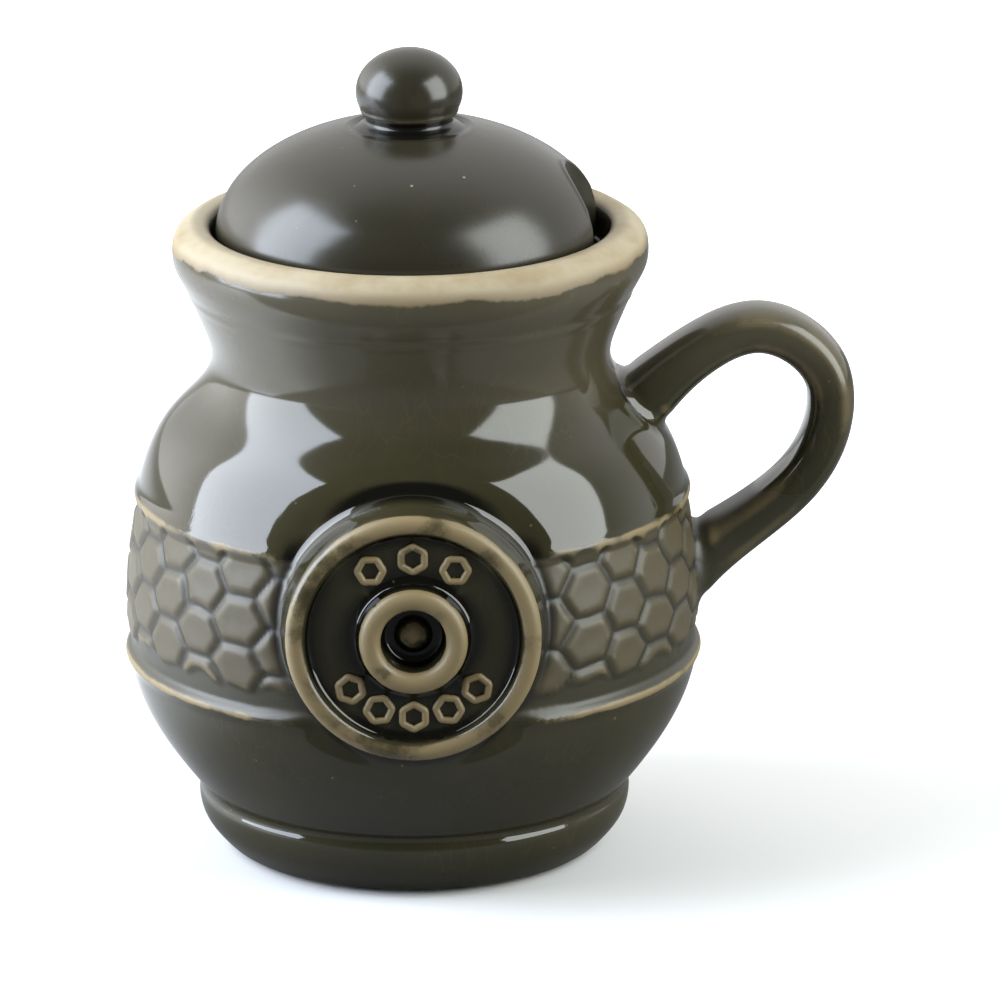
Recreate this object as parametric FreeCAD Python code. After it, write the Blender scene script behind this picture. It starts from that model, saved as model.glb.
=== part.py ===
"""Glazed ceramic honey pot: a round pot with a strap handle, and a loose domed lid with a dipper notch.

Millimetres, +Z up. The origin is the centre of the foot's flat base. The medallion faces -Y and the
handle is on +X. Each node is one fired piece: "pot" is the thrown body with its handle, honeycomb band
and medallion, and "lid" is the dome with its knob, which rests loose on a ledge inside the pot's rim.
"""
import FreeCAD, Part
import os
from math import asin, cos, hypot, pi, radians, sin, sqrt

V = FreeCAD.Vector
UP = V(0, 0, 1)
FRONT = V(0, -1, 0)

# Pot: heights and radii of the outside, from the foot up
BASE_R = 31.0          # flat face that it stands on
FOOT_R = 36.7
FOOT_H = 10.9          # crease where the belly leaves the foot
FOOT_SIDE_H = 8.6      # height where the foot is widest
CREASE = 0.6           # how far the crease lies inside the foot
BELLY_R = 49.1
BELLY_H = 42.0
NECK_R = 33.7
NECK_H = 85.0
COLLAR_R = 37.8        # top of the cove, where the collar starts
COLLAR_H = 97.8
COLLAR_STEP = 0.5      # the collar stands this far out of the cove
RIM_R = 40.1
RIM_H = 103.5
LIP_R = 36.9           # crown of the lip
POT_H = 108.7

# Pot: the inside
WALL = 5.0
FLOOR = 5.0
LEDGE_H = 102.5        # ledge that carries the lid
MOUTH_R = 33.5         # wall round the lid
LEDGE_W = 2.5          # width of the ledge
THROAT_R = MOUTH_R - LEDGE_W   # inner edge of the ledge
LIP_IN_R = 34.6        # where the lip's crown starts to roll in

# Honeycomb band, sunk into the belly
BAND_LOW = 35.0
BAND_TOP = 61.5
BAND_DEPTH = 1.0
CELL_COLUMNS = 34
CELL_PITCH = 8.3       # up and down
CELL_GAP = 1.7         # groove between two cells
CELLS_LOW = 39.5       # the cells stop here, above a plain channel

# Medallion, flat and upright on the front
MEDAL_H = 50.6
MEDAL_R = 21.2
MEDAL_FACE = 50.6      # crest of its outer ring, from the pot's axis
MEDAL_BEAD = 3.3
MEDAL_FIELD = 1.9      # the field lies this far behind the crest
MOAT = 3.4             # plain space between the medallion and the cells
NOZZLE_R = 9.0
NOZZLE_BEAD = 3.5
NOZZLE_OUT = 1.8       # its crest stands this far before the outer ring's
WELL_DEPTH = 6.0       # from the nozzle's crest
BOSS_R = 2.5
BOSS_H = 1.8
MARK_R = 13.6          # the raised hexagons stand on this circle
MARK_SIZE = 2.7        # their corner radius
MARK_STROKE = 1.0
MARK_RAISE = 1.0
BEAD_FALL = 1.4        # both beads are this much rounded towards their sides
WALL_LEAN = 0.4        # the walls of field and well lean in by this
MARK_ANGLES = [90 + a for a in (-31, 0, 31)] + [270 + a for a in (-50, -25, 0, 25, 50)]

# Handle: its middle line in the XZ plane, and its section
HANDLE_REACH = 70.8    # middle line's farthest point
HANDLE_TOP = 89.6
HANDLE_LOW = 45.5      # where the middle line ends, inside the belly's wall
HANDLE_ROOT = 74.0     # where it starts, inside the shoulder's wall
HANDLE_THICK = 8.0
HANDLE_WIDTH = 12.0
ROOT_FLARE = 1.6       # the section grows by this where it meets the pot
FLARE_POWER = 5        # how late the growth comes
SQUARENESS = 0.7       # 1 gives an oval section, and less a squarer one
SECTIONS = 17
SECTION_POINTS = 24

# Lid
LID_GAP = 0.8          # between its edge and the wall round it
LID_EDGE_H = 107.0     # top of its upright edge
LID_TOP = 126.0
LID_WALL = 4.6
LID_EDGE_ROUND = 1.2
KNOB_R = 9.0
KNOB_HALF_H = 7.3
KNOB_H = 131.0         # its widest height
KNOB_SEAT_R = 8.2      # short upright skirt under the ball
KNOB_NECK_R = 7.3      # groove between the skirt and the dome
KNOB_NECK_LOW = 125.2
KNOB_NECK_TOP = 127.6
KNOB_FOOT_R = 8.6
NOTCH_R = 11.5         # round bite in the lid's edge, for a dipper's stick
NOTCH_REACH = 26.0     # its innermost point, from the axis
NOTCH_SIDE = -1.5      # its centre lies this far to the front

FAR = 2 * (BELLY_R + POT_H)   # well outside everything


def revolved(edges):
    """Solid of revolution about Z from the edges of a closed outline in the XZ half plane."""
    return Part.Face(Part.Wire(edges)).revolve(V(), UP, 360)


def line(a, b):
    return Part.makeLine(V(a[0], 0, a[1]), V(b[0], 0, b[1]))


def arc(a, through, b):
    return Part.Arc(*(V(x, 0, z) for x, z in (a, through, b))).toShape()


def curve(points, start=None, end=None):
    """Smooth curve through points of the XZ plane, with a direction at each end if given."""
    spline = Part.BSplineCurve()
    points = [V(x, 0, z) for x, z in points]
    if start and end:
        spline.interpolate(Points=points, InitialTangent=V(start[0], 0, start[1]),
                           FinalTangent=V(end[0], 0, end[1]))
    else:
        spline.interpolate(Points=points)
    return spline.toShape()


def between(low, high, share_r, share_h):
    return low[0] + share_r * (high[0] - low[0]), low[1] + share_h * (high[1] - low[1])


def belly_points(inset=0.0):
    """Outline from the foot's crease to the collar, moved in by inset."""
    crease = (FOOT_R - CREASE, FOOT_H)
    belly, neck, collar = (BELLY_R, BELLY_H), (NECK_R, NECK_H), (COLLAR_R, COLLAR_H)
    stations = [crease, between(crease, belly, 0.40, 0.22), between(crease, belly, 0.81, 0.53), belly,
                between(belly, neck, 0.13, 0.42), between(belly, neck, 0.48, 0.745),
                between(belly, neck, 0.84, 0.885), neck, between(neck, collar, 0.34, 0.5), collar]
    return [(r - inset, h) for r, h in stations]


def foot_edges():
    crease = (FOOT_R - CREASE, FOOT_H)
    swell = FOOT_R - BASE_R
    radius = (swell ** 2 + FOOT_SIDE_H ** 2) / (2 * swell)
    half = 0.5 * asin(FOOT_SIDE_H / radius)
    bend = (FOOT_R - radius * (1 - cos(half)), FOOT_SIDE_H - radius * sin(half))
    top = (FOOT_R - 0.25 * CREASE, 0.5 * (FOOT_SIDE_H + FOOT_H))
    return [line((0, 0), (BASE_R, 0)), arc((BASE_R, 0), bend, (FOOT_R, FOOT_SIDE_H)),
            arc((FOOT_R, FOOT_SIDE_H), top, crease)]


def outside():
    """The pot's outer form, filled, with its mouth still closed at the lip."""
    step = (COLLAR_R + COLLAR_STEP, COLLAR_H + COLLAR_STEP)
    shoulder = (RIM_R - 0.3, RIM_H - 2.0)
    lip = (LIP_R, POT_H)
    roll = (RIM_R - 0.32 * (RIM_R - LIP_R), RIM_H + 0.75 * (POT_H - RIM_H))
    edges = foot_edges() + [
        curve(belly_points()), line(belly_points()[-1], step), line(step, shoulder),
        arc(shoulder, (RIM_R, RIM_H - 0.8), (RIM_R, RIM_H)), arc((RIM_R, RIM_H), roll, lip),
        line(lip, (0, POT_H)), line((0, POT_H), (0, 0))]
    return revolved(edges)


def cavity():
    """What is empty inside: the belly, the throat, and the mouth above the ledge."""
    low = (FOOT_R - WALL, FLOOR + 4.0)
    corner = (low[0] - 1.2, FLOOR + 1.2)
    wall = [(r - WALL, h) for r, h in belly_points()[1:8]]
    above = POT_H + 2.0
    edges = [line((0, FLOOR), (low[0] - 4.0, FLOOR)), arc((low[0] - 4.0, FLOOR), corner, low),
             curve([low] + wall), line(wall[-1], (THROAT_R, LEDGE_H)),
             line((THROAT_R, LEDGE_H), (MOUTH_R, LEDGE_H)),
             line((MOUTH_R, LEDGE_H), (MOUTH_R, POT_H - 1.8)),
             line((MOUTH_R, POT_H - 1.8), (LIP_IN_R, POT_H)), line((LIP_IN_R, POT_H), (LIP_IN_R, above)),
             line((LIP_IN_R, above), (0, above)), line((0, above), (0, FLOOR))]
    return revolved(edges)


def turned_out(radius, start, end):
    """Cylinder about the medallion's axis, from start to end before the pot's axis."""
    return Part.makeCylinder(radius, end - start, V(0, -start, MEDAL_H), FRONT)


def hexagon(radius, turn=0.0):
    """Corners of a hexagon about (0, 0)."""
    return [(radius * cos(radians(60 * k + turn)), radius * sin(radians(60 * k + turn))) for k in range(6)]


def cell(angle, height):
    """Upright prism that stands out of the belly, where a honeycomb cell is left."""
    across = 2 * pi * BELLY_R / CELL_COLUMNS
    outer = BELLY_R + 2.0
    shrink = 1 - CELL_GAP / CELL_PITCH
    corners = [V(outer, shrink * x * across * 0.667, height + shrink * z * CELL_PITCH * 0.577)
               for x, z in hexagon(1.0)]
    prism = Part.Face(Part.makePolygon(corners + corners[:1])).extrude(V(BAND_DEPTH - WALL - 6.0, 0, 0))
    prism.rotate(V(), UP, angle)
    return prism


def cells():
    """All honeycomb cells: columns round the band, every second one half a cell lower."""
    middle = 0.5 * (BAND_TOP + CELLS_LOW)
    clear = MEDAL_R + MOAT
    made = []
    for column in range(CELL_COLUMNS):
        angle = 360.0 * (column + 0.5) / CELL_COLUMNS
        side = BELLY_R * cos(radians(angle))
        for row in (-1.5, -0.5, 0.5, 1.5) if column % 2 else (-1, 0, 1):
            height = middle + row * CELL_PITCH
            on_front = angle > 180 and hypot(side, height - MEDAL_H) < clear + 1.0
            if not on_front:
                made.append(cell(angle, height))
    keep = Part.makeCylinder(FAR, BAND_TOP - CELLS_LOW + 2.0, V(0, 0, CELLS_LOW))
    return Part.makeCompound(made).common(keep)


def sunk_band():
    """What is cut away: the band, down to the sunken surface, without the cells."""
    low, high = belly_points(BAND_DEPTH)[0], belly_points(BAND_DEPTH)[-1]
    shell = revolved([curve(belly_points(BAND_DEPTH)), line(high, (FAR, high[1])),
                      line((FAR, high[1]), (FAR, low[1])), line((FAR, low[1]), low)])
    slope = 1.0
    belt = revolved([line((NECK_R, BAND_LOW + slope), (BELLY_R - BAND_DEPTH, BAND_LOW + slope)),
                     line((BELLY_R - BAND_DEPTH, BAND_LOW + slope), (BELLY_R + slope, BAND_LOW - slope)),
                     line((BELLY_R + slope, BAND_LOW - slope), (BELLY_R + slope, BAND_TOP)),
                     line((BELLY_R + slope, BAND_TOP), (NECK_R, BAND_TOP)),
                     line((NECK_R, BAND_TOP), (NECK_R, BAND_LOW + slope))])
    return shell.common(belt).cut(cells())


def about_medal(edges):
    """Solid of revolution about the medallion's axis; the outline gives (radius, distance before Z)."""
    face = Part.Face(Part.Wire(edges))
    solid = face.revolve(V(), UP, 360)
    solid.rotate(V(), V(1, 0, 0), 90)
    solid.translate(V(0, 0, MEDAL_H))
    return solid


def cap_middle(radius, height, base):
    """Middle point of the arc that turns into a ball's cap of this radius and height."""
    ball = (radius ** 2 + height ** 2) / (2 * height)
    half = 0.5 * asin(radius / ball)
    return ball * sin(half), base + height - ball * (1 - cos(half))


def medallion():
    """Disc with a round outer bead, a nozzle in the middle, a well in that and a boss in the well."""
    crest, field = MEDAL_FACE, MEDAL_FACE - MEDAL_FIELD
    inner = MEDAL_R - MEDAL_BEAD
    nozzle = crest + NOZZLE_OUT
    well_r = NOZZLE_R - NOZZLE_BEAD
    well = nozzle - WELL_DEPTH
    root = 0.5 * BELLY_R
    rim, bead = crest - BEAD_FALL, nozzle - BEAD_FALL
    edges = [line((0, root), (MEDAL_R, root)), line((MEDAL_R, root), (MEDAL_R, rim)),
             arc((MEDAL_R, rim), (MEDAL_R - 0.5 * MEDAL_BEAD, crest), (inner, rim)),
             line((inner, rim), (inner - WALL_LEAN, field)),
             line((inner - WALL_LEAN, field), (NOZZLE_R + WALL_LEAN, field)),
             line((NOZZLE_R + WALL_LEAN, field), (NOZZLE_R, bead)),
             arc((NOZZLE_R, bead), (NOZZLE_R - 0.5 * NOZZLE_BEAD, nozzle), (well_r, bead)),
             line((well_r, bead), (well_r - WALL_LEAN, well)),
             line((well_r - WALL_LEAN, well), (BOSS_R, well)),
             arc((BOSS_R, well), cap_middle(BOSS_R, BOSS_H, well), (0, well + BOSS_H)),
             line((0, well + BOSS_H), (0, root))]
    return about_medal(edges)


def marks():
    """Small raised hexagon outlines on the medallion's field."""
    back = MEDAL_FACE - MEDAL_FIELD - 0.5
    made = []
    for angle in MARK_ANGLES:
        x, z = MARK_R * cos(radians(angle)), MEDAL_H + MARK_R * sin(radians(angle))
        rings = []
        for radius in (MARK_SIZE, MARK_SIZE - MARK_STROKE):
            corners = [V(x + u, -back, z + w) for u, w in hexagon(radius, angle)]
            rings.append(Part.Face(Part.makePolygon(corners + corners[:1])))
        made.append(rings[0].cut(rings[1]).extrude(FRONT * (MARK_RAISE + 0.5)))
    return made


def handle_line():
    """Middle line of the handle, from inside the upper wall to inside the lower wall."""
    upper, lower = (NECK_R + 1.8, HANDLE_ROOT), (BELLY_R - WALL - 0.6, HANDLE_LOW)
    top = (HANDLE_REACH, HANDLE_TOP)
    shares = [(0.212, 0.925), (0.55, 1.0), (0.835, 0.93), (0.975, 0.815), (1.0, 0.70),
              (0.965, 0.58), (0.84, 0.43), (0.546, 0.258), (0.176, 0.09)]
    middle = [between(lower, top, *share) for share in shares]
    spline = Part.BSplineCurve()
    spline.interpolate(Points=[V(x, 0, z) for x, z in [upper] + middle + [lower]])
    return spline


def handle():
    """Strap that is lofted through rounded sections set square on its middle line."""
    spline = handle_line()
    first, last = spline.FirstParameter, spline.LastParameter
    sections = []
    for k in range(SECTIONS):
        share = k / (SECTIONS - 1)
        at = first + share * (last - first)
        place, along = spline.value(at), spline.tangent(at)[0]
        out = along.cross(V(0, 1, 0))
        flare = 1 + (ROOT_FLARE - 1) * (abs(2 * share - 1) ** FLARE_POWER)
        points = []
        for step in range(SECTION_POINTS):
            turn = 2 * pi * step / SECTION_POINTS
            square = [(abs(f(turn)) ** SQUARENESS) * (1 if f(turn) >= 0 else -1) for f in (cos, sin)]
            points.append(place + out * (0.5 * HANDLE_THICK * flare * square[0])
                          + V(0, 0.5 * HANDLE_WIDTH * flare * square[1], 0))
        ring = Part.BSplineCurve()
        ring.interpolate(Points=points, PeriodicFlag=True)
        sections.append(Part.Wire(ring.toShape()))
    return Part.makeLoft(sections, True, False)


def pot():
    bed = turned_out(MEDAL_R - 1.0, NECK_R, BELLY_R + 1.0)
    body = outside().cut(sunk_band()).cut(bed)
    body = body.fuse([medallion(), handle()])
    body = body.fuse(marks())
    return body.cut(cavity())


def quarter(radius, height, low):
    """Quarter of an ellipse in the XZ plane, from its top on the axis down to its side."""
    points = [(radius * sin(radians(a)), low + height * cos(radians(a))) for a in range(0, 91, 10)]
    return curve(points, start=(1, 0), end=(0, -1))


def dome():
    """Hollow dome whose flat lower ring sits on the ledge."""
    edge = MOUTH_R - LID_GAP
    inner = edge - LID_WALL
    rise, inner_rise = LID_TOP - LID_EDGE_H, LID_TOP - LID_EDGE_H - LID_WALL
    r = LID_EDGE_ROUND
    edges = [quarter(edge, rise, LID_EDGE_H), line((edge, LID_EDGE_H), (edge, LEDGE_H + r)),
             arc((edge, LEDGE_H + r), (edge - 0.29 * r, LEDGE_H + 0.29 * r), (edge - r, LEDGE_H)),
             line((edge - r, LEDGE_H), (inner, LEDGE_H)), line((inner, LEDGE_H), (inner, LID_EDGE_H)),
             quarter(inner, inner_rise, LID_EDGE_H),
             line((0, LID_TOP - LID_WALL), (0, LID_TOP))]
    return revolved(Part.__sortEdges__(edges))


def knob():
    """Flattened ball on a short skirt, with a groove between the skirt and the dome."""
    seat_h = KNOB_H - KNOB_HALF_H * sqrt(1 - (KNOB_SEAT_R / KNOB_R) ** 2)
    top = (0, KNOB_H + KNOB_HALF_H)
    ball = [(KNOB_R * sin(radians(a)), KNOB_H + KNOB_HALF_H * cos(radians(a))) for a in range(0, 91, 15)]
    ball.append((KNOB_SEAT_R, seat_h))
    tuck = ((seat_h - KNOB_H) / KNOB_HALF_H ** 2, -KNOB_SEAT_R / KNOB_R ** 2)
    foot_top = (KNOB_FOOT_R, KNOB_NECK_LOW)
    root = (KNOB_FOOT_R, KNOB_NECK_LOW - 2.0)
    waist = (KNOB_NECK_R, 0.5 * (KNOB_NECK_LOW + KNOB_NECK_TOP))
    edges = [curve(ball, start=(1, 0), end=tuck),
             line((KNOB_SEAT_R, seat_h), (KNOB_SEAT_R, KNOB_NECK_TOP)),
             arc((KNOB_SEAT_R, KNOB_NECK_TOP), waist, foot_top), line(foot_top, root),
             line(root, (0, root[1])), line((0, root[1]), top)]
    return revolved(edges)


def lid():
    shape = dome().fuse(knob())
    centre = V(NOTCH_REACH + NOTCH_R, NOTCH_SIDE, LEDGE_H - 1.0)
    return shape.cut(Part.makeCylinder(NOTCH_R, LID_TOP - LEDGE_H + 2.0, centre, UP))


def main():
    os.makedirs("parts", exist_ok=True)
    for name, make in (("pot", pot), ("lid", lid)):
        shape = make()
        solid = shape.Solids[0]
        print(name, "solids", len(shape.Solids), "faces", len(solid.Faces), "valid", solid.isValid(),
              "cm3", round(solid.Volume / 1000, 1), "box", solid.BoundBox)
        solid.exportStep("parts/%s.step" % name)


main()
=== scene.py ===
# %% [markdown]
# # A glazed ceramic honey pot
#
# The real pot is slip-cast stoneware: a round body with a foot, a strap handle luted on at the right,
# a raised medallion on the front and a sunk honeycomb band round the belly. A domed lid with a ball
# knob and a bite for the dipper rests loose inside the rim. Everything wears one dark olive glaze that
# runs thin and tan over edges and pools nearly black in hollows; only the rim is left bare.
#
# Units are millimetres while shapes are worked out, and metres once they become meshes.

# %% Load the frame
import bpy
import bmesh
import math
import numpy as np
from mathutils import Matrix, Vector


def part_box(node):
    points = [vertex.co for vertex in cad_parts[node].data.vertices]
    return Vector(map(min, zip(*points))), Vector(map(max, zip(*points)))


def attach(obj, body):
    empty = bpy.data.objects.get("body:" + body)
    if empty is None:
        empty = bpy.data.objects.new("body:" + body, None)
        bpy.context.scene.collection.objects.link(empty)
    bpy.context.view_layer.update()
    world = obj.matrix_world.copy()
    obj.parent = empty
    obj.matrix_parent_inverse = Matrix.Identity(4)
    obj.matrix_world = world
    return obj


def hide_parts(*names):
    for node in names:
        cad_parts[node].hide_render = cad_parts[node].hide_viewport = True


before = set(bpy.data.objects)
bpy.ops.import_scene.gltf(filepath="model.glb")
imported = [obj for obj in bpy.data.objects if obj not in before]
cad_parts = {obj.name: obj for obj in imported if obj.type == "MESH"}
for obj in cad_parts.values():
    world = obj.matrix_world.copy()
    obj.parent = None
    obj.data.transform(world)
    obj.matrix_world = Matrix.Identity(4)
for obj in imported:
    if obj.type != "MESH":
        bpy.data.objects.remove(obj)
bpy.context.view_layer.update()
MM = 0.001
pot_low, pot_high = (np.array(corner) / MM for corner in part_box("pot"))
lid_low, lid_high = (np.array(corner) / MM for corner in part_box("lid"))
print("pot box", pot_low.round(1), pot_high.round(1), "lid box", lid_low.round(1), lid_high.round(1))

# %% [markdown]
# ## Sizes of the pot
#
# A thrown or cast pot is a turned profile first. These are the radii and heights that a potter would
# measure with calipers. The heights and widths of the whole come from the frame's boxes, so the looks
# sit exactly where the construction does.

# %% Named sizes
POT_H = pot_high[2]
BELLY_R = -pot_low[0]
BASE_R, FOOT_R, FOOT_H, FOOT_SIDE_H = 31.0, 36.7, 10.9, 8.6
BELLY_H, NECK_R, NECK_H = 42.0, 33.7, 85.0
COLLAR_R, COLLAR_H, RIM_R, RIM_H, LIP_R = 37.8, 97.8, 40.1, 103.5, 36.9
WALL, FLOOR, LEDGE_H, MOUTH_R, THROAT_R = 5.0, 5.0, lid_low[2], 33.5, 31.0
BAND_LOW, BAND_TOP, BAND_DEPTH, CELLS_LOW = 35.2, 61.3, 1.0, 39.5
MEDAL_H, MEDAL_R, MEDAL_FACE, MEDAL_FIELD = 50.6, 21.2, 50.6, 1.9
NOZZLE_OUT, WELL_DEPTH = 1.8, 6.0
print("pot stands", round(POT_H, 1), "mm high and", round(2 * BELLY_R, 1), "mm across")

# %% [markdown]
# ## Smooth lines through a few points
#
# A profile is drawn through a handful of stations. A natural cubic spline passes through each of them
# with no kinks, which is how a supple strip of wood would lie. The line is then cut into even steps,
# because a mesh with even steps takes light evenly.

# %% Spline and even steps
def evenly(line, count):
    """The same line with count evenly spaced points."""
    line = np.array(line, float)
    walked = np.r_[0, np.cumsum(np.linalg.norm(np.diff(line, axis=0), axis=1))]
    at = np.linspace(0, walked[-1], count)
    return np.column_stack([np.interp(at, walked, column) for column in line.T])


def spline(stations, count):
    """Evenly spaced points on the natural cubic spline through the stations."""
    p = np.array(stations, float)
    t = np.r_[0, np.cumsum(np.linalg.norm(np.diff(p, axis=0), axis=1))]
    h, n = np.diff(t), len(p)
    rows, right = np.eye(n), np.zeros_like(p)
    for i in range(1, n - 1):
        rows[i, i - 1:i + 2] = h[i - 1], 2 * (h[i - 1] + h[i]), h[i]
        right[i] = 6 * ((p[i + 1] - p[i]) / h[i] - (p[i] - p[i - 1]) / h[i - 1])
    bend = np.linalg.solve(rows, right)
    fine = np.linspace(0, t[-1], 40 * n)
    k = np.clip(np.searchsorted(t, fine) - 1, 0, n - 2)
    a, b, w = (t[k + 1] - fine)[:, None], (fine - t[k])[:, None], h[k][:, None]
    line = (bend[k] * a ** 3 + bend[k + 1] * b ** 3) / (6 * w)
    line += (p[k] / w - bend[k] * w / 6) * a + (p[k + 1] / w - bend[k + 1] * w / 6) * b
    return evenly(line, count)


def step(low, high, value):
    """0 below low, 1 above high, and an S curve between."""
    share = np.clip((value - low) / (high - low), 0, 1)
    return share * share * (3 - 2 * share)


def between(low, high, share_r, share_h):
    """A point part of the way from low to high, with a share of its own across and upward."""
    return low[0] + share_r * (high[0] - low[0]), low[1] + share_h * (high[1] - low[1])


print("middle of a spline through three points", spline([(0, 0), (1, 1), (2, 0)], 3)[1].round(3))

# %% [markdown]
# ## The pot's profile
#
# The line starts under the foot, swells through the belly, draws in at the neck, flares to the collar
# and rolls over the lip. Then it goes down inside: a ledge that carries the lid, the throat, and the
# inner wall, which follows the outside at the thickness of the clay.

# %% Stations of the profile
crease = (FOOT_R - 0.6, FOOT_H)
belly, neck, collar = (BELLY_R, BELLY_H), (NECK_R, NECK_H), (COLLAR_R, COLLAR_H)
side = [crease, between(crease, belly, 0.40, 0.22), between(crease, belly, 0.81, 0.53), belly,
        between(belly, neck, 0.13, 0.42), between(belly, neck, 0.48, 0.745),
        between(belly, neck, 0.84, 0.885), neck, between(neck, collar, 0.34, 0.5), collar]
outline = spline(side, 2000)


def radius_at(height):
    """Radius of the plain outside at a height between the foot's crease and the collar."""
    return np.interp(height, outline[:, 1], outline[:, 0])


foot = spline([(BASE_R - 1.6, 0.0), (BASE_R + 0.2, 0.35), (BASE_R + 2.7, 2.4), (BASE_R + 4.9, 5.4),
               (FOOT_R, FOOT_SIDE_H), (FOOT_R - 0.12, 10.0), (crease[0] - 0.1, crease[1])], 15)
rim = spline([(COLLAR_R - 0.35, COLLAR_H - 1.1), (COLLAR_R - 0.05, COLLAR_H - 0.1),
              (COLLAR_R + 0.5, COLLAR_H + 0.9), (COLLAR_R + 1.25, COLLAR_H + 2.3),
              (RIM_R - 0.35, RIM_H - 1.9), (RIM_R, RIM_H), (RIM_R - 0.15, RIM_H + 1.9),
              (RIM_R - 0.9, RIM_H + 3.6), (RIM_R - 2.3, RIM_H + 4.6), (LIP_R, POT_H - 0.1),
              (LIP_R - 1.4, POT_H - 0.1), (MOUTH_R + 0.7, POT_H - 0.4), (MOUTH_R + 0.05, POT_H - 1.3),
              (MOUTH_R, POT_H - 3.6)], 40)
inner_side = [(r - WALL, h) for r, h in side[1:8]]
inside = spline([(MOUTH_R, POT_H - 4.6), (MOUTH_R, LEDGE_H + 0.5)], 4).tolist()
inside += [(MOUTH_R - 0.4, LEDGE_H), (THROAT_R + 0.5, LEDGE_H), (THROAT_R, LEDGE_H - 0.6)]
inside += spline([(THROAT_R - 0.6, LEDGE_H - 4), *inner_side[::-1], (FOOT_R - WALL, FLOOR + 5)], 30).tolist()
inside += [(FOOT_R - WALL - 1.4, FLOOR + 1.6), (FOOT_R - WALL - 5, FLOOR), (16, FLOOR), (5, FLOOR)]
print("outline", len(outline), "foot", len(foot), "rim", len(rim), "inside", len(inside))

# %% [markdown]
# ## Meshes from rings
#
# A ring may use only every second or fourth column of the finest one, so that dark and plain places
# cost few points. Where fineness changes, each coarse edge meets two fine ones in three triangles, so
# the skin stays closed without cracks. The first and the last ring are closed with one flat face each.

# %% Skin over rings
def skin(ring_strides, columns):
    """Faces over rings, each with columns / stride points, closed at both ends."""
    starts = np.r_[0, np.cumsum([columns // stride for stride in ring_strides])].tolist()
    faces = []
    for k in range(len(ring_strides) - 1):
        low, high, s, t = starts[k], starts[k + 1], ring_strides[k], ring_strides[k + 1]
        n, m = columns // s, columns // t
        if s == t:
            faces += [(low + j, low + (j + 1) % n, high + (j + 1) % n, high + j) for j in range(n)]
        elif s < t:
            for j in range(m):
                a, b, c = low + 2 * j, low + 2 * j + 1, low + (2 * j + 2) % n
                d, e = high + j, high + (j + 1) % m
                faces += [(a, b, d), (b, e, d), (b, c, e)]
        else:
            for j in range(n):
                a, b = low + j, low + (j + 1) % n
                c, d, e = high + 2 * j, high + 2 * j + 1, high + (2 * j + 2) % m
                faces += [(a, d, c), (a, b, d), (b, e, d)]
    return faces + [tuple(range(starts[1]))[::-1], tuple(range(starts[-2], starts[-1]))]


def store_floats(mesh, name, values):
    """Keeps one number for every point of the mesh under a name."""
    mesh.attributes.new(name, "FLOAT", "POINT").data.foreach_set("value", np.asarray(values, np.float32))


def new_piece(name, points_mm, faces, **values):
    """A smooth mesh object in metres, with one float attribute for each named value."""
    mesh = bpy.data.meshes.new(name)
    mesh.from_pydata((np.asarray(points_mm) * MM).tolist(), [], faces)
    mesh.validate()
    for key, value in values.items():
        store_floats(mesh, key, value)
    mesh.shade_smooth()
    piece = bpy.data.objects.new(name, mesh)
    bpy.context.scene.collection.objects.link(piece)
    print(name, len(mesh.vertices), "points", sum(len(f.vertices) - 2 for f in mesh.polygons), "triangles")
    return piece


def face_outward(piece):
    """Turns all faces outward and gives the piece's volume in cubic centimetres."""
    work = bmesh.new()
    work.from_mesh(piece.data)
    bmesh.ops.recalc_face_normals(work, faces=work.faces)
    volume = work.calc_volume(signed=True)
    if volume < 0:
        bmesh.ops.reverse_faces(work, faces=work.faces)
    work.to_mesh(piece.data)
    work.free()
    return round(abs(volume) * 1e6, 1)


print("a skin over two rings of eight has", len(skin([1, 1], 8)), "faces")

# %% [markdown]
# ## The turned body as a grid
#
# Columns are counted from the back, so the medallion sits on the middle column. The belly is the dense
# part of the grid, with its rows evenly spaced along the profile. The foot, the neck and the lip use
# every second column, and the dark inside every fourth.

# %% Rings of the body
COLUMNS, DENSE_ROWS = 544, 121
DENSE_LOW, DENSE_TOP = 21.0, 80.0
low_part = outline[outline[:, 1] < DENSE_LOW]
mid_part = outline[(outline[:, 1] >= DENSE_LOW) & (outline[:, 1] <= DENSE_TOP)]
top_part = outline[(outline[:, 1] > DENSE_TOP) & (outline[:, 1] < COLLAR_H - 1.7)]
runs = [([(9, 0), (22, 0)], 4), (foot.tolist(), 2), (evenly(low_part, 17)[1:-1].tolist(), 2),
        (evenly(mid_part, DENSE_ROWS).tolist(), 1), (evenly(top_part, 20)[1:].tolist(), 2),
        (rim.tolist(), 2), (inside, 4)]
profile = np.array([point for run_points, _ in runs for point in run_points], float)
strides = [stride for run_points, stride in runs for _ in run_points]
dense_from = strides.index(1)
print("rings", len(profile), "first dense ring", dense_from)

# %% [markdown]
# ## Band and ridges
#
# The mould sinks a band into the belly and leaves a soft ridge along both of its edges. The ridges
# fade out before they reach the medallion, and the skin round the medallion dips a little towards it,
# because the mould-maker's tool ran round it there. All of it is a change of radius, so it can be
# worked out while the points are placed, with no second mesh to join.

# %% How deep the skin is sunk
def surface_radius(across, height, front):
    """Radius of the skin with its band and ridges. front says where the medallion's side faces."""
    from_medal = np.where(front, np.hypot(across, height - MEDAL_H), 99.0) - MEDAL_R
    inside_edge = np.minimum(height - BAND_LOW, BAND_TOP - height)
    sunk = BAND_DEPTH * step(-0.7, 0.9, inside_edge)
    dip = 0.9 * BAND_DEPTH * (1 - step(0.8, 6.5, from_medal))
    ridge = 0.5 * np.exp(-((inside_edge + 1.0) / 1.0) ** 2) * step(1.6, 4.2, from_medal)
    return radius_at(height) - np.maximum(sunk, dip) + ridge


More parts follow.
